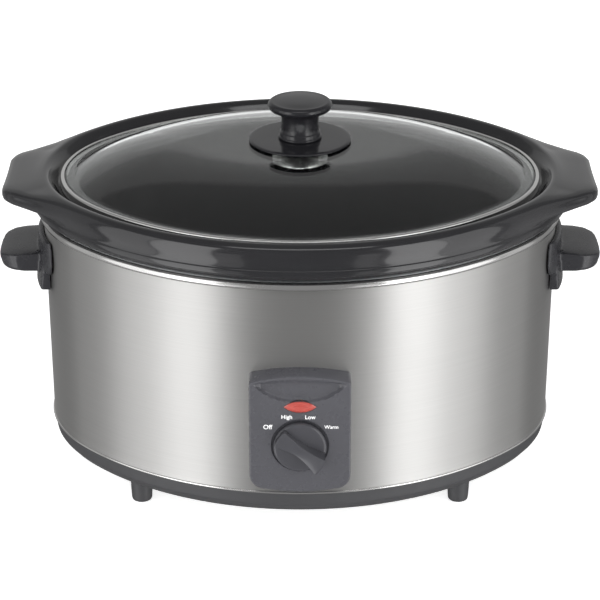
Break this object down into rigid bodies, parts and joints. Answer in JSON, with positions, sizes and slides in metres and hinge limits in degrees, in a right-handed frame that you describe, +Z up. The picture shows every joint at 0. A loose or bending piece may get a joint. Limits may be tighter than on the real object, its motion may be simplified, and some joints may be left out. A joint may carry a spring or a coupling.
{
  "type": "slow cooker",
  "caption": "Oval slow cooker: steel-cased heating base with side handles, rotary control and lamp, lift-out stoneware crock, domed glass lid.",
  "frame": {"origin": "on the surface that it stands on, under the middle of the whole object's outline", "axes": "+X along the length, towards the right-hand handle; +Y towards the back, away from the control panel; +Z up"},
  "size_m": [0.4296, 0.32, 0.2729],
  "materials": {
    "casing_steel": "satin, fine brush lines running round the casing",
    "well_metal": "satin, drawn sheet",
    "pan_plastic": "matte, fine moulded grain",
    "pad_rubber": "matte",
    "handle_plastic": "satin, fine moulded grain",
    "panel_plastic": "satin, fine moulded grain",
    "dial_plastic": "satin",
    "knob_plastic": "satin",
    "lens_plastic": "glossy red, moulded facets",
    "crock_glaze": "glossy dark glaze over stoneware",
    "lid_glass": "clear tempered glass",
    "rim_steel": "polished stainless band",
    "washer_steel": "bright pressed steel",
    "strap_steel": "galvanised, dull",
    "fastener_steel": "zinc plated",
    "brass": "satin",
    "heater_tape": "woven glass tape over resistance wire",
    "glass_wool": "soft felted wool",
    "nylon": "satin natural nylon",
    "phenolic": "semi-gloss phenolic",
    "ceramic_body": "matte ceramic",
    "neon_glass": "clear lamp bulb with an orange glow",
    "wire_brown": "satin insulation",
    "wire_blue": "satin insulation",
    "wire_green": "satin insulation",
    "wire_white": "braided glass sleeving"
  },
  "bodies": {
    "base": {"outer_shell": "casing_steel", "base_pan": "pan_plastic", "feet": "pan_plastic", "foot_pads": "pad_rubber", "foot_screws": "brass", "inner_liner": "well_metal", "heater_band": "heater_tape", "heater_straps": "strap_steel", "insulation_wrap": "glass_wool", "thermal_fuse": "ceramic_body", "fuse_clip": "strap_steel", "centre_stud": "fastener_steel", "centre_washer": "fastener_steel", "centre_nut": "fastener_steel", "handle_left": "handle_plastic", "handle_right": "handle_plastic", "handle_screws": "fastener_steel", "handle_washers": "fastener_steel", "control_bezel": "panel_plastic", "bezel_screws": "brass", "indicator_lens": "lens_plastic", "neon_lamp": "neon_glass", "lamp_holder": "nylon", "switch_body": "nylon", "switch_cover": "phenolic", "switch_contacts": "brass", "switch_nut": "fastener_steel", "terminal_block": "nylon", "terminal_screws": "brass", "earth_stud": "fastener_steel", "earth_tag": "brass", "earth_nut": "fastener_steel", "cord_gland": "pad_rubber", "wire_live": "wire_brown", "wire_neutral": "wire_blue", "wire_earth": "wire_green", "wire_heater": "wire_white", "wire_fuse": "wire_white", "wire_lamp": "wire_white"},
    "crock_pot": {"crock": "crock_glaze"},
    "lid": {"lid_glass": "lid_glass", "lid_rim": "rim_steel", "lid_seal": "pad_rubber", "lid_knob_disc": "knob_plastic", "lid_knob": "knob_plastic", "lid_washer": "washer_steel", "lid_screw": "fastener_steel"},
    "dial": {"control_dial": "dial_plastic", "dial_spring": "fastener_steel", "switch_shaft": "fastener_steel", "switch_rotor": "phenolic"}
  },
  "joints": [
    {"name": "crock_lift", "type": "slide", "parent": "base", "child": "crock_pot", "axis": [0, 0, 1], "range_m": [0, 0.2]},
    {"name": "lid_lift", "type": "slide", "parent": "crock_pot", "child": "lid", "axis": [0, 0, 1], "range_m": [0, 0.15]},
    {"name": "dial_turn", "type": "hinge", "parent": "base", "child": "dial", "pos_m": [0, -0.144, 0.0797], "axis": [0, 1, 0], "range_deg": [0, 114]}
  ]
}
